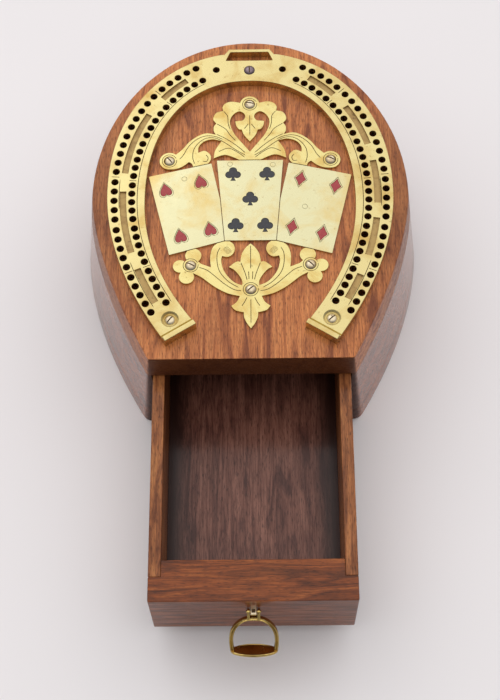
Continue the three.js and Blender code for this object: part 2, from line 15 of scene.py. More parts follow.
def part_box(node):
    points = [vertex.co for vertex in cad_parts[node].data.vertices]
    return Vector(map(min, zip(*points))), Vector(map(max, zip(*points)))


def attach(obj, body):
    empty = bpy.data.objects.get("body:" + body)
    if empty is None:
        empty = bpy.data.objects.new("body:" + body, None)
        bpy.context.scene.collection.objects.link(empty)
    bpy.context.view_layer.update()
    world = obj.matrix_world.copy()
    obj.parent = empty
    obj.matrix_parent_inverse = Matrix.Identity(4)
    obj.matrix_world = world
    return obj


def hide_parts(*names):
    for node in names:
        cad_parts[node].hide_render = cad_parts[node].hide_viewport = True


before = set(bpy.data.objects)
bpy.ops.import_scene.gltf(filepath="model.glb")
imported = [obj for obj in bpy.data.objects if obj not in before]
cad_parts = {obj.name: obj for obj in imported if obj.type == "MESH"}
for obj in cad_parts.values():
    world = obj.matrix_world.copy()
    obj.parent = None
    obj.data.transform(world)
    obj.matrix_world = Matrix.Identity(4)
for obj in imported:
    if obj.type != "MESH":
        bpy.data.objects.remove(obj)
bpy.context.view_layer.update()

MM = 0.001
SHARP_ANGLE = 34
CASE_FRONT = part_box("base_board")[0].y / MM
CASE_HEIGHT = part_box("top_board")[1].z / MM
BASE_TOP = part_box("base_board")[1].z / MM
WALL_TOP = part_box("top_board")[0].z / MM

# ------------------------------------------------------------------ outlines, as in the CAD source

TOP_PLAN = {"front": 58.5, "widest": 94.5, "widest_at": 108, "back": 220, "swell": 1.6}
FOOT_PLAN = {"front": 66, "widest": 106, "widest_at": 118, "back": 231, "swell": 1.8}
CORNER_ROUND = {"top": 1.2, "more_at_foot": 3.2}


def leg(widest, at, heel, low, toe, high):
    """A curve of the horseshoe, with the exponents of its stretches below and above its widest place."""
    return {"widest": widest, "at": at, "heel_x": heel[0], "heel_y": heel[1],
            "low": low, "toe": toe, "high": high}


SHOE_OUTER = leg(85, 108, (48.65, 8.2), 1.95, 208.5, 2.15)
SHOE_INNER = leg(62.5, 102, (31.1, 19.2), 2.1, 187, 2.2)
OUTER_ROW = leg(80.8, 107, (57.1, 27.3), 2.13, 204, 2.1)
INNER_ROW = leg(70.35, 105, (48.6, 33.5), 1.95, 195, 2.05)
OUTER_ROW_END = 32.8
INNER_ROW_END = 28.6
PEG_GROUPS = 6
PEGS_IN_GROUP = 5
GROUP_GAP = 1.13
PEG_RADIUS = 2.1
PEG_DEPTH_IN_WOOD = 12
GAME_PEG = (20.5, 195.5)
LEFT_FULLERS = ((189, 174), (165, 120), (109, 66), (56.5, 33))
RIGHT_FULLERS = ((190, 176), (168, 139.5), (128.6, 98.4), (88.4, 63), (50.8, 34.3))
CLIP_SHOULDER = (15.35, 207.1)
CLIP_TOP = (12.6, 210.9)
CLIP_SLOT = ((14.6, 202.4), (11.8, 208.8))
SHOE_THICKNESS = 5.5
FULLER_WIDTH = 4.0
FULLER_DEPTH = 1.25
CALK_WIDTH = 3.2
CALK_HEIGHT = 1.75
GULLY_PLACE = 4.2
HEEL_SCREW_SINK = 1.5
SHOE_TOP = CASE_HEIGHT + SHOE_THICKNESS
PLATE_TOP = CASE_HEIGHT + 1.5
HEEL_SCREW = (46.2, 22.8)
TOE_SCREW = (0, 195)
CREST_SCREWS = {"middle": (0, 172.3), "left": (-48.65, 131.7), "right": (48.65, 131.7)}
FOOT_SCREWS = {"middle": (0, 43.6), "left": (-35, 59.7), "right": (35, 59.7)}
CARD_PINS = ((-39.4, 118.9), (-12, 129), (13.8, 128.3), (32.5, 98.8))
CARD_TILT = math.radians(13.35)
HEARTS = ((-50.6, 111.4), (-29.8, 117), (-41.3, 79.6), (-23.8, 84.1))
CLUBS = ((-10.2, 122), (10.2, 122), (0, 104.7), (-8.7, 86.5), (8.7, 86.5))
DIAMONDS = ((30.3, 118.2), (51.2, 112.9), (24.6, 85), (42.2, 80.3))
SHANK_RADIUS = 1.7
SCREW_HOLE = 2.0
SCREW_LENGTH = 12
HEAD_RADIUS = 3.4
HEAD_DOME = 1.75
SLOT_ANGLES = {
    "toe": {"middle": 1.6},
    "heel": {"left": 0.9, "right": 0.7},
    "crest": {"middle": -0.1, "left": -0.85, "right": -0.4},
    "foot": {"middle": 0.7, "left": -0.45, "right": -0.75},
}
SCREW_RING = 4.35
PIN_RADIUS = 1.5
PIP_OUTLINE_MARGIN = 0.75
STIRRUP_SWING = math.radians(38)
STIRRUP_BOW = [(0, -4.4), (5, -5.2), (9.2, -8.4), (11.8, -13.2), (12.7, -19.2), (12.1, -26.2)]
TREAD = {"half": 13.25, "depth": 5.3, "drop": 26.6}
PRONG = {"middle": 2.85, "half_thickness": 0.75, "half_width": 1.75, "length": 4.4, "eye": 0.8}
POST_SOCKET = {"half": 1, "depth": 0.75, "from_end": 2.1}

CAMERA = {"elevation": 64.477, "azimuth": 1.318, "roll": -1.802, "distance": 0.829, "lens": 75.15}
CAMERA_TARGET = Vector((-0.00069, -0.1101, 0.09))


def arc(x, y, radius, start, end, steps):
    """Points on an arc, with its angles in degrees."""
    angles = [math.radians(start + (end - start) * i / steps) for i in range(steps + 1)]
    return [(x + radius * math.cos(a), y + radius * math.sin(a)) for a in angles]


def smooth(*points, steps=6):
    """A Catmull-Rom curve through a few points."""
    last = len(points) - 1
    made = [points[0]]
    for i in range(last):
        p0, p1, p2, p3 = (points[k] for k in (max(i - 1, 0), i, i + 1, min(i + 2, last)))
        for step in range(1, steps + 1):
            t = step / steps
            made.append(tuple(
                (2 * b - 2 * c + (c - a) / 2 + (d - b) / 2) * t ** 3
                + (-3 * b + 3 * c - (c - a) - (d - b) / 2) * t ** 2
                + (c - a) / 2 * t + b
                for a, b, c, d in zip(p0, p1, p2, p3)))
    return made


def joined(*stretches):
    """Stretches end to end, without a point that repeats the one before it."""
    made = []
    for point in (p for stretch in stretches for p in stretch):
        if not made or math.dist(point, made[-1]) > 0.02:
            made.append(point)
    return made


def mirror(points):
    """The points on the other side of the line X = 0, in reverse order."""
    return [(-x, y) for x, y in reversed(points)]


def flipped(lines):
    """The lines on the other side of the line X = 0."""
    return [[(-x, y) for x, y in line] for line in lines]


def rectangle(x0, y0, x1, y1):
    return [(x0, y0), (x1, y0), (x1, y1), (x0, y1)]


def both_sides(half):
    """A closed outline from its right half, whose ends lie on the line X = 0."""
    return list(half) + mirror(half)[1:-1]


def disc(centre, radius, sides=28):
    return arc(*centre, radius, 0, 360 - 360 / sides, sides - 1)


def is_ccw(loop):
    return sum(a[0] * b[1] - b[0] * a[1] for a, b in zip(loop, loop[1:] + loop[:1])) > 0


def inset(loop, amount):
    """The loop moved towards its left by an amount. An edge that would turn back shrinks away."""
    count = len(loop)
    corners = [Vector(p) for p in loop]
    along = [(corners[(i + 1) % count] - corners[i]).normalized() for i in range(count)]
    across = [Vector((-d.y, d.x)) for d in along]

    def meet(i, j):
        """The corner between the moved edges i and j."""
        if (i + 1) % count == j:
            bisector = across[i] + across[j]
            return corners[j] + bisector * (amount / max(1 + along[i].dot(along[j]), 0.4))
        end, start = corners[(i + 1) % count] + across[i] * amount, corners[j] + across[j] * amount
        turn = along[i].cross(along[j])
        if abs(turn) < 0.02:
            return (end + start) / 2
        return end + along[i] * ((start - end).cross(along[j]) / turn)

    live = list(range(count))
    while True:
        starts = {j: meet(i, j) for i, j in zip(live[-1:] + live[:-1], live)}
        kept = [i for i, j in zip(live, live[1:] + live[:1]) if (starts[j] - starts[i]).dot(along[i]) > 0]
        if len(kept) == len(live) or len(kept) < 3:
            break
        live = kept
    made, following = [], starts[live[0]]
    for i in reversed(range(count)):
        following = starts.get(i, following)
        made.append(tuple(following))
    return made[::-1]


def filleted(loop, radius, steps=4):
    """The loop with its corners rounded, each by the same radius or by its own."""
    radii = radius if isinstance(radius, (list, tuple)) else [radius] * len(loop)
    made = []
    for before, point, after, size in zip(loop[-1:] + loop[:-1], loop, loop[1:] + loop[:1], radii):
        p, a, b = Vector(point), Vector(before), Vector(after)
        if size <= 0:
            made.append(tuple(point))
            continue
        to_a, to_b = (a - p).normalized(), (b - p).normalized()
        start, end = p + to_a * size, p + to_b * size
        for i in range(steps + 1):
            t = i / steps
            made.append(tuple(start * (1 - t) ** 2 + p * (2 * t * (1 - t)) + end * t * t))
    return made


def plan_half(front, widest, widest_at, back, swell, low_steps=22, high_steps=34):
    points = []
    for i in range(low_steps):
        y = widest_at * i / low_steps
        points.append((widest - (widest - front) * (1 - y / widest_at) ** swell, y))
    for i in range(high_steps + 1):
        angle = math.pi / 2 * i / high_steps
        points.append((widest * math.cos(angle), widest_at + (back - widest_at) * math.sin(angle)))
    points[-1] = (0, points[-1][1])
    return points


def plan_at(height, corner):
    """The case's outline at a height, with its two front corners rounded."""
    t = height / CASE_HEIGHT
    low, high = plan_half(**FOOT_PLAN), plan_half(**TOP_PLAN)
    half = [(a[0] + (b[0] - a[0]) * t, a[1] + (b[1] - a[1]) * t) for a, b in zip(low, high)]
    loop = half + mirror(half)[1:]
    radii = [0] * len(loop)
    radii[0] = radii[-1] = corner
    return filleted(loop, radii, 5)


def leg_curve(curve, low_steps=48, high_steps=60):
    """Right half of a curve of the horseshoe, from the heel to the toe."""
    points = []
    drop = curve["at"] - curve["heel_y"]
    for i in range(low_steps):
        y = curve["heel_y"] + drop * i / low_steps
        fall = (curve["widest"] - curve["heel_x"]) * ((curve["at"] - y) / drop) ** curve["low"]
        points.append((curve["widest"] - fall, y))
    for i in range(high_steps + 1):
        angle = math.pi / 2 * i / high_steps
        x = curve["widest"] * abs(math.cos(angle)) ** (2 / curve["high"])
        y = curve["at"] + (curve["toe"] - curve["at"]) * math.sin(angle) ** (2 / curve["high"])
        points.append((x, y))
    points[-1] = (0, points[-1][1])
    return points


def between(a, b, t=0.5):
    """A curve of the horseshoe part of the way from one to another."""
    return {key: a[key] * (1 - t) + b[key] * t for key in a}


def walk(line, distances):
    """The points at some distances along a line, with the direction of travel at each."""
    found = []
    for distance in distances:
        left = distance
        for a, b in zip(line, line[1:]):
            step = math.dist(a, b)
            if left <= step or b is line[-1]:
                t = min(left / step, 1)
                direction = ((b[0] - a[0]) / step, (b[1] - a[1]) / step)
                found.append(((a[0] + (b[0] - a[0]) * t, a[1] + (b[1] - a[1]) * t), direction))
                break
            left -= step
    return found


def length_of(line):
    return sum(math.dist(a, b) for a, b in zip(line, line[1:]))


def peg_row(curve, end_x):
    """Peg centres of one row, and the marks halfway between its groups."""
    line = [p for p in leg_curve(curve, 90, 160) if p[0] >= end_x or p[1] < curve["at"]]
    steps = PEG_GROUPS * (PEGS_IN_GROUP - 1) + (PEG_GROUPS - 1) * GROUP_GAP
    pitch = length_of(line) / steps
    pegs, marks, reach = [], [], 0
    for n in range(PEG_GROUPS * PEGS_IN_GROUP):
        pegs.append(reach)
        last_of_group = (n + 1) % PEGS_IN_GROUP == 0
        if last_of_group and n + 1 < PEG_GROUPS * PEGS_IN_GROUP:
            marks.append(reach + pitch * GROUP_GAP / 2)
        reach += pitch * (GROUP_GAP if last_of_group else 1)
    return [at for at, _ in walk(line, pegs)], walk(line, marks)


def on_both_legs(points):
    return list(points) + mirror(points)


# ------------------------------------------------------------------ meshes


def in_frame(point):
    """A point of the drawing in the row frame."""
    return (point[0] * MM, (point[1] + CASE_FRONT) * MM, point[2] * MM)


def corners(node):
    """The low and high corners of a CAD node, in the drawing's millimetres."""
    return [(c.x / MM, c.y / MM - CASE_FRONT, c.z / MM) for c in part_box(node)]


def shown(name, data):
    """A new object in the scene."""
    made = bpy.data.objects.new(name, data)
    bpy.context.scene.collection.objects.link(made)
    return made


def make_object(name, points, faces, materials, face_material=0, angle=SHARP_ANGLE):
    """A mesh object from points in millimetres, smooth except at edges sharper than the angle."""
    mesh = bpy.data.meshes.new(name)
    mesh.from_pydata([in_frame(p) for p in points], [], faces)
    for material in materials:
        mesh.materials.append(material)
    mesh.polygons.foreach_set("use_smooth", [True] * len(faces))
    mesh.polygons.foreach_set("material_index", [face_material] * len(faces))
    welded = bmesh.new()
    welded.from_mesh(mesh)
    bmesh.ops.remove_doubles(welded, verts=welded.verts, dist=1e-6)
    welded.to_mesh(mesh)
    welded.free()
    mesh.set_sharp_from_angle(angle=math.radians(angle))
    return shown(name, mesh)


def cap(loops):
    """Triangles, counter-clockwise seen from above, that fill the first loop and leave the others open."""
    points, outlines = [], []
    for loop in loops:
        indices = list(range(len(points), len(points) + len(loop)))
        outlines.append(indices if not outlines else indices[::-1])
        points += [Vector(p[:2]) for p in loop]
    made, _, faces, sources, _, inside = delaunay_2d_cdt(points, [], outlines, 1, 1e-6)
    nearest = [found[0] if found else min(range(len(points)), key=lambda i: (points[i] - at).length)
               for at, found in zip(made, sources)]
    return [tuple(nearest[v] for v in face) for face, within in zip(faces, inside) if within == [0]]


def loft(name, rings, materials):
    """A closed solid through a stack of rings. Each is a list of loops of 3-D points, outer loop first."""
    points, faces = [], []
    sizes = [len(loop) for loop in rings[0]]
    for ring in rings:
        for loop in ring:
            points.extend(loop)
    per_ring = sum(sizes)
    for level in range(len(rings) - 1):
        start = level * per_ring
        for size in sizes:
            for i in range(size):
                j = (i + 1) % size
                faces.append((start + i, start + j, start + j + per_ring, start + i + per_ring))
            start += size
    top = (len(rings) - 1) * per_ring
    faces += [face[::-1] for face in cap(rings[0])]
    faces += [tuple(top + v for v in face) for face in cap(rings[-1])]
    return make_object(name, points, faces, materials)


def plate_rings(loops, z0, z1, bevel, foot_bevel=0.0, segments=3):
    """Rings of a flat plate whose top edges, and if asked its bottom edges, are rounded over."""
    loops = [loop if is_ccw(loop) == (n == 0) else loop[::-1] for n, loop in enumerate(loops)]
    levels = []
    if foot_bevel:
        levels += [(z0, foot_bevel), (z0 + foot_bevel * 0.3, foot_bevel * 0.3), (z0 + foot_bevel, 0)]
    else:
        levels.append((z0, 0))
    for k in range(segments + 1):
        turn = math.pi / 2 * k / segments
        levels.append((z1 - bevel + bevel * math.sin(turn), bevel * (1 - math.cos(turn))))
    return [[[(x, y, z) for x, y in (inset(loop, amount) if amount else loop)] for loop in loops]
            for z, amount in levels]


def plate(name, loops, z0, z1, bevel, materials, foot_bevel=0.0):
    return loft(name, plate_rings(loops, z0, z1, bevel, foot_bevel), materials)


def combine(target, tool, operation="DIFFERENCE"):
    """Cuts or joins one mesh with another, and removes the second."""
    modifier = target.modifiers.new("combine", "BOOLEAN")
    modifier.object = tool
    modifier.operation = operation
    modifier.solver = "MANIFOLD"
    evaluated = target.evaluated_get(bpy.context.evaluated_depsgraph_get())
    mesh = bpy.data.meshes.new_from_object(evaluated)
    target.modifiers.clear()
    target.data = mesh
    mesh.polygons.foreach_set("use_smooth", [True] * len(mesh.polygons))
    mesh.set_sharp_from_angle(angle=math.radians(SHARP_ANGLE))
    bpy.data.objects.remove(tool)


def strips(name, lines, top, width, depth, materials, face_material):
    """V-shaped cutters along some lines, for engraving a surface at the top height."""
    points, faces = [], []
    for line in lines:
        start, count = len(points), len(line)
        for i, point in enumerate(line):
            before, after = Vector(line[max(i - 1, 0)]), Vector(line[min(i + 1, count - 1)])
            along = (after - before).normalized()
            ends = 0.35 if i in (0, count - 1) and count > 3 else 1
            side = Vector((-along.y, along.x)) * width * ends
            rise = depth * 0.6
            points.append((point[0] + side.x, point[1] + side.y, top + rise))
            points.append((point[0] - side.x, point[1] - side.y, top + rise))
            points.append((point[0], point[1], top - depth * ends))
        faces.append((start + 2, start + 1, start))
        last = start + 3 * (count - 1)
        faces.append((last, last + 1, last + 2))
        for i in range(count - 1):
            a = start + 3 * i
            for k, m in ((0, 1), (1, 2), (2, 0)):
                faces.append((a + k, a + m, a + m + 3, a + k + 3))
    return make_object(name, points, faces, materials, face_material)


def lathe_loops(profile, sides):
    """Rings of a turned solid from (radius, height) pairs that start and end off the axis."""
    return [[[(r * math.cos(2 * math.pi * i / sides), r * math.sin(2 * math.pi * i / sides), z)
              for i in range(sides)]] for r, z in profile]


# ------------------------------------------------------------------ materials


def srgb(*values):
    """A linear colour from the usual 0 to 255 values."""
    linear = [(v / 255 / 12.92) if v <= 10 else ((v / 255 + 0.055) / 1.055) ** 2.4 for v in values]
    return (*linear, 1.0)


class Shader:
    """A material made by short calls, whose values are numbers, colours or other nodes' outputs."""

    def __init__(self, name, roughness=0.5, metallic=0.0, coat=0.0, coat_roughness=0.1):
        self.material = bpy.data.materials.new(name)
        self.material.use_nodes = True
        self.nodes = self.material.node_tree.nodes
        self.links = self.material.node_tree.links
        self.bsdf = self.nodes["Principled BSDF"]
        self.set("Roughness", roughness)
        self.set("Metallic", metallic)
        self.set("Coat Weight", coat)
        self.set("Coat Roughness", coat_roughness)
        source = self.nodes.new("ShaderNodeTexCoord")
        self.coordinates, self.normals = source.outputs["Object"], source.outputs["Normal"]

    def put(self, socket, value):
        if isinstance(value, bpy.types.NodeSocket):
            self.links.new(value, socket)
        else:
            socket.default_value = value

    def set(self, name, value):
        self.put(self.bsdf.inputs[name], value)

    def add(self, kind, **values):
        """A node with some of its inputs set or linked."""
        node = self.nodes.new("ShaderNode" + kind)
        for name, value in values.items():
            self.put(node.inputs[name], value)
        return node

    def place(self, scale, turn=(0, 0, 0), shift=(0, 0, 0)):
        node = self.add("Mapping", Vector=self.coordinates, Scale=scale, Rotation=turn, Location=shift)
        return node.outputs[0]

    def reach(self, scale, start, end, amount):
        """Rises from 0 to the amount between two distances from the origin along the scaled axes."""
        length = self.add("VectorMath", Vector=self.place(scale))
        length.operation = "LENGTH"
        return self.ramp(length.outputs["Value"], (start, 0.0), (end, amount))

    def noise(self, vector, scale, detail=3.0, roughness=0.5, distortion=0.0):
        node = self.add("TexNoise", Vector=vector, Scale=scale, Detail=detail, Roughness=roughness,
                        Distortion=distortion)
        return node.outputs["Fac"]

    def ramp(self, factor, *stops):
        """A colour ramp. Each stop is (position, value or colour)."""
        node = self.add("ValToRGB", Fac=factor)
        elements = node.color_ramp.elements
        while len(elements) < len(stops):
            elements.new(0.5)
        for element, (position, value) in zip(elements, stops):
            element.position = position
            element.color = value if isinstance(value, tuple) else (value, value, value, 1)
        return node.outputs["Color"]

    def mix(self, factor, a, b):
        node = self.nodes.new("ShaderNodeMix")
        node.data_type = "RGBA"
        self.put(node.inputs["Factor"], factor)
        self.put(node.inputs["A"], a)
        self.put(node.inputs["B"], b)
        return node.outputs["Result"]

    def bump(self, height, strength, distance, normal=None):
        node = self.add("Bump", Height=height, Strength=strength, Distance=distance)
        if normal:
            self.put(node.inputs["Normal"], normal)
        return node.outputs["Normal"]


GRAIN = {
    "x": ((0.13, 1, 1), (0.03, 1, 1), (0.11, 1, 1)),
    "y": ((1, 0.13, 1), (1, 0.03, 1), (1, 0.11, 1)),
}


def wood(name, dark, middle, light, axis="y", coat=0.9, shift=0.0, rim=None):
    """Open-grained waxed wood: figure, fibres and dark pores along one axis, and darker end grain.

    The rim holds the arguments of Shader.reach, and the surface darkens there.
    """
    made = Shader(name, coat_roughness=0.16)
    made.set("Specular IOR Level", 0.12)
    figure_scale, fibre_scale, pore_scale = GRAIN[axis]
    moved = (shift, shift, shift)
    figure = made.noise(made.place(figure_scale, shift=moved), 150, 5, 0.6, 1.4)
    fibres = made.noise(made.place(fibre_scale, shift=moved), 1300, 4, 0.65, 0.3)
    dashes = made.noise(made.place(pore_scale), 2300, 2, 0.5)
    clouds = made.noise(made.coordinates, 26, 4, 0.6)
    colour = made.ramp(figure, (0.36, dark), (0.5, middle), (0.66, light))
    colour = made.mix(made.ramp(clouds, (0.45, 0.0), (0.7, 0.3)), colour, light)
    colour = made.mix(made.ramp(clouds, (0.3, 0.4), (0.5, 0.0)), colour, dark)
    colour = made.mix(made.ramp(fibres, (0.44, 0.0), (0.66, 0.7)), colour, dark)
    deep = tuple(v * 0.3 for v in dark[:3]) + (1,)
    colour = made.mix(made.ramp(dashes, (0.55, 0.0), (0.66, 0.6)), colour, deep)
    if rim:
        colour = made.mix(made.reach(*rim), colour, deep)
    faces = made.add("SeparateXYZ", Vector=made.normals)
    ends = made.add("Math", Value=faces.outputs[axis.upper()])
    ends.operation = "ABSOLUTE"
    colour = made.mix(made.ramp(ends.outputs[0], (0.6, 0.0), (0.95, 0.85)), colour, deep)
    made.set("Coat Weight", made.ramp(ends.outputs[0], (0.6, coat), (0.95, 0.15 * coat)))
    made.set("Base Color", colour)
    made.set("Roughness", made.ramp(fibres, (0.4, 0.36), (0.64, 0.6)))
    relief = made.bump(fibres, 0.25, 0.0001)
    made.set("Normal", made.bump(made.ramp(dashes, (0.54, 1.0), (0.64, 0.0)), 0.4, 0.0001, relief))
    return made.material


def brass(name, pale, golden, tarnish, roughness=0.26, patches=55, spots=0.5, metallic=1.0, rim=None):
    """Old polished brass: golden patches, small tarnish spots, rubbed haze and fine scratches."""
    made = Shader(name, metallic=metallic)
    patch = made.noise(made.coordinates, patches, 4, 0.6, 0.4)
    grime = made.noise(made.coordinates, 420, 3, 0.6)
    haze = made.noise(made.coordinates, 150, 5, 0.65)
    scratch_a = made.noise(made.place((1, 0.02, 1), turn=(0, 0, 0.6)), 1400, 2, 0.5)
    scratch_b = made.noise(made.place((0.02, 1, 1), turn=(0, 0, 0.35)), 1600, 2, 0.5)
    colour = made.mix(made.ramp(patch, (0.46, 0.0), (0.74, 0.85)), pale, golden)
    if rim:
        colour = made.mix(made.reach(*rim), colour, golden)
    colour = made.mix(made.ramp(grime, (0.64, 0.0), (0.74, spots)), colour, tarnish)
    made.set("Base Color", colour)
    made.set("Roughness", made.ramp(haze, (0.3, roughness - 0.04), (0.75, roughness + 0.08)))
    relief = made.bump(haze, 0.03, 0.0002)
    relief = made.bump(scratch_a, 0.03, 0.0001, relief)
    made.set("Normal", made.bump(scratch_b, 0.03, 0.0001, relief))
    return made.material


def enamel(name, colour, worn):
    """Hard wax enamel, a little uneven and rubbed paler in places."""
    made = Shader(name, roughness=0.38, coat=0.15, coat_roughness=0.3)
    grit = made.noise(made.coordinates, 900, 4, 0.7)
    made.set("Base Color", made.mix(made.ramp(grit, (0.45, 0.0), (0.75, 0.7)), colour, worn))
    made.set("Normal", made.bump(grit, 0.3, 0.0002))
    return made.material


def paper_floor():
    """A smooth pale studio sweep."""
    made = Shader("floor", roughness=0.75)
    shade = made.noise(made.coordinates, 3, 2, 0.5)
    made.set("Base Color", made.ramp(shade, (0.35, srgb(230, 227, 228)), (0.7, srgb(234, 231, 232))))
    return made.material


TOP_WOOD = wood("top_wood", srgb(126, 68, 40), srgb(198, 122, 70), srgb(212, 138, 82), coat=0.28,
                rim=((1, 0.35, 0), 0.074, 0.094, 0.5))
CASE_WOOD = wood("case_wood", srgb(92, 44, 22), srgb(150, 78, 38), srgb(174, 100, 54), coat=1.0, shift=0.4)
FRONT_WOOD = wood("drawer_front_wood", srgb(78, 36, 12), srgb(130, 64, 24), srgb(158, 86, 36), "x",
                  coat=0.4, shift=0.7)
SIDE_WOOD = wood("drawer_side_wood", srgb(98, 52, 26), srgb(152, 92, 52), srgb(180, 118, 68),
                 coat=0.3, shift=0.9)
# Its rim darkens the drawer's floor and back towards the side walls: painted shade cast by the walls, with
# some dirt.
DARK_WOOD = wood("drawer_inside_wood", srgb(76, 42, 34), srgb(122, 78, 64), srgb(144, 98, 82), coat=0.45,
                 rim=((1, 0, 0), 0.036, 0.0465, 0.95))
BRASS = brass("card_brass", srgb(204, 199, 158), srgb(200, 170, 98), srgb(150, 118, 64), 0.22, 45, 0.35,
              rim=((1, 0, 0), 0.052, 0.066, 0.9))
SHOE_BRASS = brass("shoe_brass", srgb(206, 191, 134), srgb(182, 148, 80), srgb(120, 90, 46), 0.26, 60, 0.55)
GOLD_BRASS = brass("golden_brass", srgb(212, 198, 134), srgb(188, 148, 70), srgb(112, 80, 36), 0.26, 75)
DULL_BRASS = brass("dull_brass", srgb(176, 146, 88), srgb(140, 106, 58), srgb(86, 66, 38),
                   0.5, 200, 0.8, 0.35)
LINE_BRASS = brass("engraved_line", srgb(96, 70, 32), srgb(76, 52, 24), srgb(46, 30, 14),
                   0.6, 120, 0.5, 0.2)
HANDLE_BRASS = brass("handle_brass", srgb(206, 180, 112), srgb(160, 124, 58), srgb(84, 60, 30),
                     0.22, 160, 0.6)
STEEL = brass("screw_brass", srgb(214, 200, 170), srgb(176, 148, 104), srgb(110, 84, 54), 0.2, 260, 0.6)
DARK_STEEL = brass("screw_steel", srgb(132, 116, 122), srgb(92, 76, 80), srgb(56, 44, 46), 0.24, 260, 0.6)
RED_ENAMEL = enamel("red_enamel", srgb(154, 30, 36), srgb(180, 74, 72))
BLACK_ENAMEL = enamel("black_enamel", srgb(26, 27, 34), srgb(56, 57, 64))


# ------------------------------------------------------------------ pieces


def settle(piece, body, slot, *nodes):
    """Lets a piece ride on a body, in the place of the CAD nodes that it stands for."""
    shading = piece.modifiers.new("flat_faces", "WEIGHTED_NORMAL")
    shading.keep_sharp = True
    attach(piece, body)
    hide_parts(*nodes)


OUTER_PEGS, OUTER_MARKS = peg_row(OUTER_ROW, OUTER_ROW_END)
INNER_PEGS, INNER_MARKS = peg_row(INNER_ROW, INNER_ROW_END)
PEGS = on_both_legs(OUTER_PEGS) + on_both_legs(INNER_PEGS) + on_both_legs([GAME_PEG])
PLATE_SCREWS = list(CREST_SCREWS.values()) + list(FOOT_SCREWS.values())
SHOE_SCREWS = [TOE_SCREW] + on_both_legs([HEEL_SCREW])


def prisms(name, loops, z0, z1, materials, face_material=0):
    """Separate upright prisms in one mesh, for cutting."""
    points, faces = [], []
    for loop in loops:
        loop = loop if is_ccw(loop) else loop[::-1]
        start, size = len(points), len(loop)
        points += [(x, y, z0) for x, y in loop] + [(x, y, z1) for x, y in loop]
        faces.append(tuple(start + i for i in reversed(range(size))))
        faces.append(tuple(start + size + i for i in range(size)))
        for i in range(size):
            j = (i + 1) % size
            faces.append((start + i, start + j, start + size + j, start + size + i))
    return make_object(name, points, faces, materials, face_material)


def case_slice(name, z0, z1, foot_round, top_round, material):
    """A slice of the flared case, with its lower and upper edges rounded over."""
    levels = [(z0, foot_round), (z0 + foot_round * 0.3, foot_round * 0.3), (z0 + foot_round, 0)]
    levels += [((z0 + z1) / 2, 0), (z1 - top_round, 0)]
    levels += [(z1 - top_round * 0.3, top_round * 0.3), (z1, top_round)]
    rings = []
    for z, amount in levels:
        corner = CORNER_ROUND["top"] + CORNER_ROUND["more_at_foot"] * (1 - z / CASE_HEIGHT)
        loop = plan_at(z, corner)
        rings.append([[(x, y, z) for x, y in inset(loop, amount)]])
    return loft(name, rings, [material])


def case():
    base = case_slice("base_board_wood", 0, BASE_TOP, 0.8, 0.35, CASE_WOOD)
    settle(base, "case", "case_wood", "base_board")

    walls = case_slice("case_walls_wood", BASE_TOP, WALL_TOP, 0.35, 0.25, CASE_WOOD)
    inner = corners("side_block_right")[0][0]
    deep = corners("back_block")[0][1]
    over = 5
    bay = rectangle(-inner, -over, inner, deep)
    combine(walls, prisms("bay", [bay], BASE_TOP - over, WALL_TOP + over, [CASE_WOOD]))
    settle(walls, "case", "case_wood", "side_block_left", "side_block_right", "back_block")

    top = case_slice("top_board_wood", WALL_TOP, CASE_HEIGHT, 0.25, 0.9, TOP_WOOD)
    depth = CASE_HEIGHT - PEG_DEPTH_IN_WOOD
    holes = [disc(at, PEG_RADIUS, 16) for at in PEGS]
    holes += [disc(at, SCREW_HOLE, 16) for at in SHOE_SCREWS + PLATE_SCREWS]
    combine(top, prisms("peg_holes", holes, depth, CASE_HEIGHT + 2, [TOP_WOOD]))
    settle(top, "case", "top_wood", "top_board")


def fuller(reach, side):
    """The outline of one groove between the two rows of pegs."""
    toe_y, heel_y = reach
    line = [p for p in leg_curve(between(OUTER_ROW, INNER_ROW), 120, 160) if heel_y <= p[1] <= toe_y][::5]
    left, right = [], []
    for i, point in enumerate(line):
        before, after = Vector(line[max(i - 1, 0)]), Vector(line[min(i + 1, len(line) - 1)])
        along = (after - before).normalized() * FULLER_WIDTH / 2
        left.append((side * (point[0] - along.y), point[1] + along.x))
        right.append((side * (point[0] + along.y), point[1] - along.x))
    return left + right[::-1]


def heel_strip(start, width, side, overlap):
    """A strip across a heel, at a distance up the leg from its end."""
    inner = Vector((SHOE_INNER["heel_x"], SHOE_INNER["heel_y"]))
    outer = Vector((SHOE_OUTER["heel_x"], SHOE_OUTER["heel_y"]))
    direction = (outer - inner).normalized()
    across, up = direction * overlap, Vector((-direction.y, direction.x))
    corners = (inner - across + up * start, outer + across + up * start,
               outer + across + up * (start + width), inner - across + up * (start + width))
    return [(side * c.x, c.y) for c in corners]


def scribed_lines(side):
    """Fine setting-out lines beside the rows, in two sets whose lines don't cross."""
    outside = leg_curve(between(INNER_ROW, SHOE_INNER, 0.42), 60, 80)
    inner = [p for p in outside if 33 < p[1] and p[0] > 27]
    gutter = leg_curve(between(OUTER_ROW, INNER_ROW, 0.28), 60, 80)
    outer = [p for p in gutter if 30 < p[1] < 60 or 96 < p[1] < 118]
    runs = [inner]
    run = [outer[0]]
    for point in outer[1:]:
        if math.dist(point, run[-1]) > 8:
            runs.append(run)
            run = []
        run.append(point)
    runs.append(run)
    ticks = []
    for marks, reach in ((OUTER_MARKS, 2.3), (INNER_MARKS, 2.1)):
        for (x, y), (dx, dy) in marks[::2]:
            ticks.append([(x - dy * reach, y + dx * reach), (x + dy * reach, y - dx * reach)])
    return [[[(side * x, y) for x, y in line] for line in lines] for lines in (runs, ticks)]


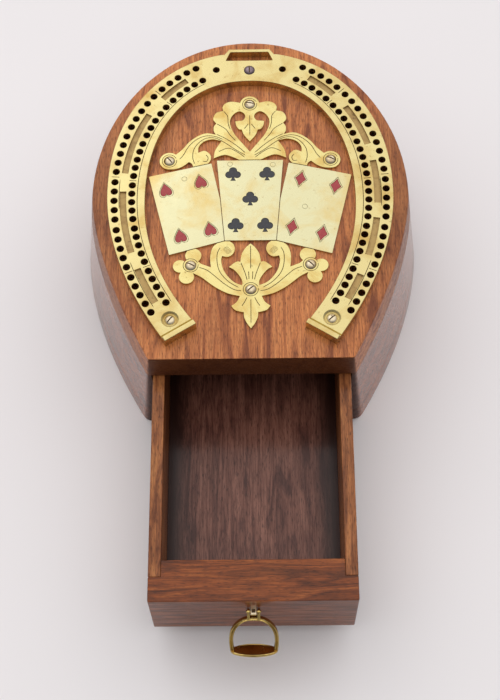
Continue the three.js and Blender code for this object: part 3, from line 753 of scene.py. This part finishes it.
def horseshoe():
    metals = [SHOE_BRASS, DULL_BRASS, LINE_BRASS]
    z1 = SHOE_TOP
    outer = [p for p in leg_curve(SHOE_OUTER) if p[0] > CLIP_SHOULDER[0] + 0.5 or p[1] < 150]
    outer = joined(outer, [CLIP_SHOULDER, CLIP_TOP])
    inner = leg_curve(SHOE_INNER)
    outline = outer + mirror(outer) + flipped([inner])[0] + inner[::-1][1:]
    (low_x, low_y), (high_x, high_y) = CLIP_SLOT
    slot = filleted([(-low_x, low_y), (low_x, low_y), (high_x, high_y), (-high_x, high_y)], 0.6)
    holes = [disc(at, PEG_RADIUS, 24) for at in PEGS]
    holes += [disc(at, SCREW_HOLE, 20) for at in SHOE_SCREWS]
    shoe = plate("horseshoe_brass", [outline, slot] + holes, CASE_HEIGHT, z1, 0.32, metals)

    for side in (1, -1):
        end = filleted(heel_strip(0, CALK_WIDTH, side, 0), 0.3)
        combine(shoe, plate("calk", [end], z1 - 1, z1 + CALK_HEIGHT, 0.45, metals), "UNION")
        line = heel_strip(GULLY_PLACE, 0, side, 1.5)[:2]
        combine(shoe, strips("gully", [line], z1, 0.8, 0.7, metals, 0))
    low = z1 - HEEL_SCREW_SINK
    profile = [(0.2, low), (3.7, low), (4.2, z1 - 0.7), (5.6, z1 + 0.4), (5.6, z1 + 3), (0.2, z1 + 3)]
    sinks = lathe_loops(profile, 32)
    for x, y in on_both_legs([HEEL_SCREW]):
        rings = [[[(px + x, py + y, pz) for px, py, pz in loop] for loop in ring] for ring in sinks]
        combine(shoe, loft("sink", rings, metals))
    grooves = [fuller(reach, -1) for reach in LEFT_FULLERS] + [fuller(reach, 1) for reach in RIGHT_FULLERS]
    combine(shoe, prisms("fullers", grooves, z1 - FULLER_DEPTH, z1 + 1, metals, 1))
    for side in (1, -1):
        for lines in scribed_lines(side):
            combine(shoe, strips("scribing", lines, z1, 0.34, 0.24, metals, 2))
    settle(shoe, "case", "brass", "horseshoe")


CREST_EDGE = joined(
    [(0, 132), (6.5, 132)],
    smooth((6.5, 132), (14.8, 135.6), (22, 133.2)),
    smooth((22, 133.2), (21, 139.2), (17.3, 145.6)),
    smooth((17.3, 145.6), (22.6, 146.9), (27.9, 145.3), (31, 141.4), (31.2, 137.5)),
    smooth((31.2, 137.5), (27.4, 138.9), (24, 136), (23.6, 132.4), (25.2, 129.6)),
    smooth((34.4, 127.4), (35, 129.4), (36.8, 130.8)),
    smooth((36.8, 130.8), (40.6, 127.7), (44.6, 126), (48.65, 125.7)),
    arc(48.65, 131.7, 6, -90, 130, 30),
    smooth((44.8, 136.3), (40.6, 140.4), (36.6, 145.6), (30.9, 149.9), (26, 151.5), (20.8, 150.4)),
    smooth((20.8, 150.4), (22, 152.8), (22, 156.1), (20.5, 158.5)),
    smooth((20.5, 158.5), (22.3, 161), (22, 164), (20, 166.7), (16.3, 167.6)),
    smooth((16.3, 167.6), (16.7, 170.6), (14.7, 173.4), (11.1, 174.5), (5.9, 173.6)),
    arc(0, 172.3, 6, 12, 90, 12),
)
CREST_HEART = joined(
    smooth((0, 137.9), (5, 144.6), (9.1, 150.4), (11.5, 156.1), (11.9, 160.9), (9.9, 164.9), (6.6, 167.1),
           (3.8, 165.8), (2.8, 163.3), (4.2, 160.7), (7, 160.3), (8.9, 160)),
    smooth((8.9, 160), (8.3, 156.6), (6.8, 154.2), (4.9, 153.7)),
    smooth((4.9, 153.7), (3.6, 149.9), (0, 145.1)),
)
FOOT_EDGE = joined(
    smooth((0, 18.3), (2.4, 21.8), (4, 25.6), (4.2, 28.8)),
    smooth((4.2, 28.8), (5.8, 29), (9.2, 30.2), (11.4, 32.9)),
    smooth((11.4, 32.9), (8.2, 35.5), (6.4, 39.2)),
    smooth((6.4, 39.2), (12.7, 40.8), (18.2, 43.6), (23.1, 47.1), (28.6, 51.7), (33.4, 54.4)),
    arc(37.3, 52.1, 4.5, 149, 400, 30),
    arc(41.2, 59.2, 4.2, 264, 493, 28),
    arc(33.5, 66.2, 4.8, -36, 44, 10),
    arc(33.5, 66.2, 4.8, 104, 232, 16),
    smooth((30.5, 62.4), (28.6, 60.7), (26.5, 59.8), (23.2, 58.4)),
    smooth((23.2, 58.4), (23.7, 63.2), (23.4, 67.8), (22, 72), (19.6, 74.4)),
    [(15.15, 75.7)],
    smooth((12.2, 75.7), (9.9, 73.6), (9.1, 70.1), (10.6, 66.7), (13.4, 65.1), (16.6, 65.7)),
    smooth((16.6, 65.7), (17.1, 63), (16.6, 59.5), (15.5, 56), (12.7, 51.6), (9.2, 48.2), (5, 46.4)),
    smooth((5, 46.4), (5.1, 49.4), (7.1, 53.2), (9.9, 56.6), (12.8, 58.3)),
    smooth((12.8, 58.3), (9.9, 60.9), (7.8, 62.1), (6, 61.8)),
    smooth((6, 61.8), (5.8, 64.2), (4.9, 67.8), (2.6, 71.6), (0, 74.1)),
)

# Engraved veins of the right half, mirrored onto the left.
CREST_VEINS = (
    smooth((42.6, 132.8), (40.2, 136), (37.2, 141.8), (32.5, 146.8), (26.9, 149.4), (21.2, 149),
           (16.3, 146.8)),
    smooth((33.4, 129.4), (34.6, 134.1), (33.9, 140), (30.6, 145), (26, 147.9), (20.4, 147.6), (14.7, 144),
           (8.6, 139.2), (2.6, 135.2)),
    smooth((20.2, 158.2), (14.9, 154.4), (12.2, 150.2), (8.6, 145.6)),
    smooth((20.4, 150.6), (14.7, 147.4), (8.3, 142.4), (2.8, 137)),
    smooth((16, 167.3), (13.6, 163.8), (13.2, 158.5), (12, 154)),
    smooth((19, 138), (13.1, 140.4), (7.4, 137.4), (3.2, 133.8)),
    smooth((28.6, 131.4), (26.2, 131.2), (25.3, 133.6), (26.6, 135.8)),
    smooth((0.9, 158), (2.2, 156), (3.4, 154.4)),
)
CREST_MIDDLE_VEINS = (smooth((0, 164.4), (0, 158), (0, 149.4)),)
FOOT_VEINS = (
    smooth((5.7, 61.2), (4.4, 57.6), (3, 53.4), (2.2, 49.8)),
    smooth((1.2, 55.4), (1.1, 52.8), (1, 50.2)),
    smooth((30.2, 58.4), (25.4, 56.4), (21, 52.6), (15.5, 47.5), (9.9, 43.6), (5.4, 42.6)),
    smooth((17.8, 71.4), (19.5, 67.2), (19.4, 60.4), (17.5, 54.4), (12.7, 48.6), (7, 44.8)),
    smooth((2.2, 38.4), (3.6, 35.4), (5.2, 32.8)),
)
FOOT_MIDDLE_VEINS = (smooth((0, 72.6), (0, 65), (0, 57)), smooth((0, 37.4), (0, 30), (0, 21.4)))


def hatching(centre, size, count, slant, pitch=0.62):
    """Short parallel cuts that darken a lobe."""
    along = Vector((math.cos(slant), math.sin(slant)))
    across = Vector((-along.y, along.x))
    lines = []
    for i in range(count):
        offset = (i - (count - 1) / 2) * pitch
        reach = math.sqrt(max(size ** 2 - offset ** 2, 0.1))
        middle = Vector(centre) + across * offset
        lines.append([tuple(middle - along * reach), tuple(middle + along * reach)])
    return lines


def fret(name, edge, piercings, screws, veins, middle_veins, hatches, node):
    metals = [GOLD_BRASS, LINE_BRASS]
    z1 = PLATE_TOP
    holes = [disc(at, SCREW_HOLE, 20) for at in screws.values()]
    made = plate(name, [both_sides(edge)] + piercings + holes, CASE_HEIGHT, z1, 0.22, metals)
    for vein in veins:
        combine(made, strips("veins", [vein] + flipped([vein]), z1, 0.34, 0.3, metals, 1))
    combine(made, strips("middle_veins", middle_veins, z1, 0.32, 0.28, metals, 1))
    # The dark groove round each screw head is an engraved ring; its dark colour is partly painted shade
    # round the head and partly dirt.
    for at in screws.values():
        combine(made, strips("ring", [arc(*at, SCREW_RING, 20, 372, 44)], z1, 0.3, 0.22, metals, 1))
    combine(made, strips("hatching", hatches + flipped(hatches), z1, 0.14, 0.14, metals, 1))
    settle(made, "case", "brass", node)


CENTRE_CARD = both_sides([(0, 76.1), (15.15, 76.1), (20, 131.65), (0, 131.65)])
SIDE_CARD = [(15.45, 76), (47.75, 66.8), (60.9, 120.75), (23.25, 129.7), (17.95, 104.3)]


def bezier(a, b, c, d, steps=10):
    made = []
    for i in range(steps + 1):
        t, s = i / steps, 1 - i / steps
        made.append(tuple(s ** 3 * p + 3 * s * s * t * q + 3 * s * t * t * r + t ** 3 * e
                          for p, q, r, e in zip(a, b, c, d)))
    return made


def heart_pip(margin=0.0):
    grow = 1 + margin / 3.2
    half = joined(bezier((0, -2.7), (0.5, -4.7), (3.4, -4.6), (3.4, -1.9)),
                  bezier((3.4, -1.9), (3.3, 0.6), (1.2, 2.2), (0, 4.5)))
    return both_sides([(x * grow, y * grow) for x, y in half])


def diamond_pip(margin=0.0):
    grow = 1 + margin / 2.6
    half = smooth((0, -4.9), (1.45, -2.3), (3.15, 0))[:-1] + smooth((3.15, 0), (1.45, 2.3), (0, 4.9))
    return both_sides([(x * grow, y * grow) for x, y in half])


def club_pip(margin=0.0):
    radius, stem, foot = 2.25 + margin, 0.6 + margin, -4.6 - margin
    side, top = (2.3, -0.5), (0, 2.35)
    towards = math.degrees(math.atan2(top[1] - side[1], top[0] - side[0]))
    crossing = math.degrees(math.acos(math.dist(side, top) / 2 / radius))
    start = math.degrees(math.acos((side[0] - stem) / radius)) - 180
    neck = (stem, side[1] + radius * math.sin(math.radians(start)))
    return both_sides(joined(
        [(0, foot), (1.5 + margin, foot)],
        smooth((1.5 + margin, foot), (stem + 0.2, -3.4), neck),
        arc(*side, radius, start, towards - crossing, 16),
        arc(*top, radius, towards - 180 + crossing, 90, 8)))


def placed(points, at, turn):
    c, s = math.cos(turn), math.sin(turn)
    return [(at[0] + c * x - s * y, at[1] + s * x + c * y) for x, y in points]


def card(node, outline, pip, centres, turn, enamel_look, pins, outlined):
    """One card plate with its enamel pips let in flush and the holes of its pins."""
    material, slot = enamel_look
    z0, z1 = CASE_HEIGHT, PLATE_TOP
    metals = [BRASS, LINE_BRASS]
    pockets = [placed(pip(0.12), at, turn) for at in centres]
    pockets += [disc(at, PIN_RADIUS + 0.08, 28) for at in pins]
    made = plate(node + "_brass", [filleted(outline, 0.35)] + pockets, z0, z1, 0.14, metals)
    for at in centres if outlined else ():
        loop = placed(pip(PIP_OUTLINE_MARGIN), at, turn)
        start = len(loop) // 8
        line = loop[start:] + loop[:start]
        line.append(tuple(Vector(line[-1]).lerp(Vector(line[0]), 0.85)))
        combine(made, strips("outline", [line], z1, 0.24, 0.18, metals, 1))
    settle(made, "case", "brass", node)
    suit = node.split("_")[0].rstrip("s")
    for i, at in enumerate(centres, 1):
        inlay = plate(f"{suit}_pip_{i}", [placed(pip(), at, turn)], z0, z1 - 0.06, 0.2, [material])
        settle(inlay, "case", slot, f"{suit}_inlay_{i}")


def cards():
    red, black = (RED_ENAMEL, "red_enamel"), (BLACK_ENAMEL, "black_enamel")
    card("hearts_card", mirror(SIDE_CARD), heart_pip, HEARTS, CARD_TILT, red, CARD_PINS[:1], True)
    card("clubs_card", CENTRE_CARD, club_pip, CLUBS, 0, black, CARD_PINS[1:3], False)
    card("diamonds_card", SIDE_CARD, diamond_pip, DIAMONDS, -CARD_TILT, red, CARD_PINS[3:], True)
    for i, at in enumerate(CARD_PINS, 1):
        low = corners(f"card_pin_{i}")[0][2]
        pin = plate(f"pin_{i}", [disc(at, PIN_RADIUS, 28)], low, PLATE_TOP, 0.12, [BRASS])
        settle(pin, "case", "brass", f"card_pin_{i}")


def carried(made, at, turn):
    """Turns a mesh about the point where it was drawn, the origin, and carries it to its place."""
    drawn = Matrix.Translation(-Vector(in_frame((0, 0, 0))))
    made.data.transform(Matrix.Translation(in_frame(at)) @ turn.to_4x4() @ drawn)
    made.data.update()
    return made


def screw(node, at, seat, slot_angle, material, slot):
    """A slotted screw with a domed head. Its head bears on a surface at the height of the seat."""
    radius = (HEAD_RADIUS ** 2 + HEAD_DOME ** 2) / (2 * HEAD_DOME)
    opening = math.asin(HEAD_RADIUS / radius)
    profile = [(0.02, -SCREW_LENGTH), (SHANK_RADIUS, -SCREW_LENGTH + 1.5), (SHANK_RADIUS, 0),
               (HEAD_RADIUS - 0.15, 0)]
    steps = 14
    for i in range(steps + 1):
        angle = opening * (1 - i / steps)
        fall = radius * (1 - math.cos(angle))
        profile.append((max(radius * math.sin(angle), 0.02), HEAD_DOME - fall + 0.02))
    metals = [material, LINE_BRASS]
    made = loft(node + "_turned", lathe_loops(profile, 40), metals)
    reach, half_slot = HEAD_RADIUS + 1, 0.38
    loop = placed(rectangle(-reach, -half_slot, reach, half_slot), (0, 0), slot_angle)
    combine(made, prisms("slot", [loop], HEAD_DOME - 0.75, HEAD_DOME + 1, metals, 1))
    carried(made, (*at, seat), Matrix.Identity(3))
    settle(made, "case", slot, node)


def screws():
    screw("toe_screw", TOE_SCREW, SHOE_TOP, SLOT_ANGLES["toe"]["middle"], DARK_STEEL, "steel")
    for side, angle in SLOT_ANGLES["heel"].items():
        at = HEEL_SCREW if side == "right" else (-HEEL_SCREW[0], HEEL_SCREW[1])
        screw("heel_screw_" + side, at, SHOE_TOP - HEEL_SCREW_SINK, angle, STEEL, "brass")
    for fret_name, places in (("crest", CREST_SCREWS), ("foot", FOOT_SCREWS)):
        for side, at in places.items():
            screw(f"{fret_name}_screw_{side}", at, PLATE_TOP, SLOT_ANGLES[fret_name][side], STEEL, "steel")


# ------------------------------------------------------------------ drawer and its pull


def drawer():
    (_, face, floor), (half, block, top) = corners("drawer_front")
    (_, back_face, _), (inner, rear, _) = corners("drawer_back")
    lip = corners("drawer_side_right")[0][1]
    floor_top = corners("drawer_bottom")[1][2]

    outline = [(-half, face), (half, face), (half, lip), (inner, lip), (inner, block), (-inner, block),
               (-inner, lip), (-half, lip)]
    radii = [0.9, 1.1, 0.9, 0, 0.9, 0.9, 0, 0.9]
    outline = filleted(outline, radii, 5)
    front = plate("drawer_front_wood", [outline], floor, top, 0.55, [FRONT_WOOD], 0.5)
    settle(front, "drawer", "drawer_wood", "drawer_front")

    for side, name in ((-1, "left"), (1, "right")):
        loop = rectangle(side * inner, lip, side * half, rear)
        board = plate(f"drawer_side_{name}_wood", [filleted(loop, 0.7)], floor, top, 0.45, [SIDE_WOOD], 0.3)
        settle(board, "drawer", "drawer_wood", f"drawer_side_{name}")

    loop = rectangle(-inner, back_face, inner, rear)
    board = plate("drawer_back_wood", [filleted(loop, 0.6)], floor_top, top, 0.4, [DARK_WOOD], 0.2)
    settle(board, "drawer", "dark_wood", "drawer_back")

    loop = rectangle(-inner, block, inner, rear)
    board = plate("drawer_bottom_wood", [filleted(loop, 0.3)], floor, floor_top, 0.15, [DARK_WOOD], 0.15)
    settle(board, "drawer", "dark_wood", "drawer_bottom")


OUTWARDS = Matrix.Rotation(math.pi / 2, 3, "X")
SIDEWAYS = Matrix(((0, 0, 1), (1, 0, 0), (0, 1, 0)))


def pull():
    (_, outside, low), (half, inside, high) = corners("pull_post")
    (_, pin_front, pin_low), (reach, pin_back, pin_high) = corners("pull_pin")
    length, height = inside - outside, (low + high) / 2
    pivot = (0, (pin_front + pin_back) / 2, height)

    square = filleted(rectangle(-half, -half, half, half), 0.5)
    post = plate("pull_post_brass", [square], 0, length, 0.3, [STEEL, LINE_BRASS])
    side, depth = POST_SOCKET["half"], POST_SOCKET["depth"]
    recess = filleted(rectangle(-side, -side, side, side), 0.25)
    combine(post, prisms("recess", [recess], length - depth, length + 1, [HANDLE_BRASS]))
    hollow = prisms("hollow", [recess], 0, 2, [LINE_BRASS])
    at = (0, half - depth, length - POST_SOCKET["from_end"])
    combine(post, carried(hollow, at, Matrix.Rotation(-math.pi / 2, 3, "X")))
    carried(post, (0, inside, height), OUTWARDS)
    settle(post, "drawer", "brass", "pull_post")

    radius = (pin_high - pin_low) / 2
    profile = [(0.02, -reach), (radius * 0.7, -reach + 0.08), (radius, -reach + 0.4), (radius, reach - 0.4),
               (radius * 0.7, reach - 0.08), (0.02, reach)]
    pin = carried(loft("pull_pin_brass", lathe_loops(profile, 24), [HANDLE_BRASS]), pivot, SIDEWAYS)
    settle(pin, "drawer", "brass", "pull_pin")
    stirrup(pivot)


def sweep(name, path, section, materials):
    """A bar along a path in the X-Z plane. Its section is in (across the path, towards the front)."""
    points, faces = [], []
    for i, (x, z) in enumerate(path):
        before, after = path[max(i - 1, 0)], path[min(i + 1, len(path) - 1)]
        along = Vector((after[0] - before[0], after[1] - before[1])).normalized()
        for across, forward in section:
            points.append((x - along.y * across, -forward, z + along.x * across))
    size = len(section)
    for i in range(len(path) - 1):
        for k in range(size):
            m = (k + 1) % size
            faces.append((i * size + m, i * size + k, (i + 1) * size + k, (i + 1) * size + m))
    last = (len(path) - 1) * size
    faces.append(tuple(range(size)))
    faces.append(tuple(last + k for k in reversed(range(size))))
    return make_object(name, points, faces, materials, angle=50)


def stirrup(pivot):
    """An arched bow with a dished oval tread, hung by two prongs from the pin."""
    metals = [HANDLE_BRASS]
    path = smooth(*mirror(STIRRUP_BOW)[:-1], *STIRRUP_BOW, steps=7)
    ridged = [(-1.15, 0.8), (-0.85, 1.25), (-0.4, 1.25), (0, 0.8), (0.4, 1.25), (0.85, 1.25), (1.15, 0.8),
              (1.15, -0.9), (0.75, -1.3), (-0.75, -1.3), (-1.15, -0.9)]
    bow = sweep("stirrup_brass", path, ridged, metals)

    profile = [(0.02, -0.8), (0.93, -0.8), (0.99, -0.55), (1, -0.1), (0.99, 0.5), (0.95, 0.78), (0.9, 0.8),
               (0.83, 0.45), (0.6, 0.15), (0.02, 0.05)]
    half, depth, drop = TREAD.values()
    rings = [[[(x * half, y * depth, z - drop) for x, y, z in loop] for loop in ring]
             for ring in lathe_loops(profile, 72)]
    combine(bow, loft("tread", rings, metals), "UNION")

    middle, thin, wide, length, eye = PRONG.values()
    for side in (-1, 1):
        outline = [(wide, -length)] + arc(0, 0, wide, 0, 180, 18) + [(-wide, -length)]
        prong = plate("prong", [outline, disc((0, 0), eye, 20)], -thin, thin, 0.25, metals, 0.25)
        carried(prong, (side * middle, 0, 0), SIDEWAYS)
        combine(bow, prong, "UNION")
    carried(bow, pivot, Matrix.Rotation(-STIRRUP_SWING, 3, "X"))
    settle(bow, "stirrup", "brass", "stirrup")


case()
horseshoe()
fret("crest_fret_brass", CREST_EDGE, [both_sides(CREST_HEART)], CREST_SCREWS,
     CREST_VEINS, CREST_MIDDLE_VEINS, [], "crest_fret")
fret("foot_fret_brass", FOOT_EDGE, [], FOOT_SCREWS,
     FOOT_VEINS, FOOT_MIDDLE_VEINS, hatching((13.6, 69.6), 2.6, 6, 0.9), "foot_fret")
cards()
screws()
drawer()
pull()

# ------------------------------------------------------------------ floor, light and camera


def floor():
    size, steps = 3.0, 24
    row = steps + 1
    along = [(i / steps - 0.5) * size for i in range(row)]
    points = [(x, y, 0) for y in along for x in along]
    faces = [(j * row + i, j * row + i + 1, (j + 1) * row + i + 1, (j + 1) * row + i)
             for j in range(steps) for i in range(steps)]
    mesh = bpy.data.meshes.new("floor")
    mesh.from_pydata(points, [], faces)
    mesh.materials.append(paper_floor())
    shown("floor", mesh)


def lamp(name, place, aim, size, power):
    data = bpy.data.lights.new(name, "AREA")
    data.shape = "RECTANGLE"
    data.size, data.size_y = size
    data.energy = power
    made = shown(name, data)
    made.location = place
    made.rotation_euler = (Vector(aim) - Vector(place)).to_track_quat("-Z", "Y").to_euler()


def studio():
    world = bpy.data.worlds.new("studio")
    world.use_nodes = True
    nodes, links = world.node_tree.nodes, world.node_tree.links
    lean = nodes.new("ShaderNodeVectorMath")
    lean.operation = "DOT_PRODUCT"
    lean.inputs[1].default_value = (0, 0.35, 0.8)
    links.new(nodes.new("ShaderNodeTexCoord").outputs["Generated"], lean.inputs[0])
    ramp = nodes.new("ShaderNodeValToRGB")
    links.new(lean.outputs["Value"], ramp.inputs["Fac"])
    elements = ramp.color_ramp.elements
    elements[0].position, elements[0].color = 0.0, (0.15, 0.148, 0.148, 1)
    elements[1].position, elements[1].color = 0.65, (0.98, 0.965, 0.965, 1)
    middle = elements.new(0.3)
    middle.color = (0.32, 0.312, 0.312, 1)
    links.new(ramp.outputs["Color"], nodes["Background"].inputs["Color"])
    nodes["Background"].inputs["Strength"].default_value = 1.4
    bpy.context.scene.world = world
    lamp("back_left", (-0.6, 0.8, 1.1), (0, 0, 0.05), (0.9, 0.9), 1.2)


def camera():
    """The camera looks down at the top from the drawer's side, rolled a little to the left."""
    elevation, azimuth, roll = (math.radians(CAMERA[angle]) for angle in ("elevation", "azimuth", "roll"))
    back = Vector((math.sin(azimuth) * math.cos(elevation), -math.cos(azimuth) * math.cos(elevation),
                   math.sin(elevation)))
    right = Vector((math.cos(azimuth), math.sin(azimuth), 0))
    up = back.cross(right)
    level = Matrix((right, up, back)).transposed()
    data = bpy.data.cameras.new("photo_camera")
    data.sensor_width = 36
    data.lens = CAMERA["lens"]
    made = shown("photo_camera", data)
    place = Matrix.Translation(CAMERA_TARGET + back * CAMERA["distance"])
    made.matrix_world = place @ (level @ Matrix.Rotation(roll, 3, "Z")).to_4x4()
    bpy.context.scene.camera = made


floor()
studio()
camera()
bpy.context.scene.view_settings.view_transform = "Standard"
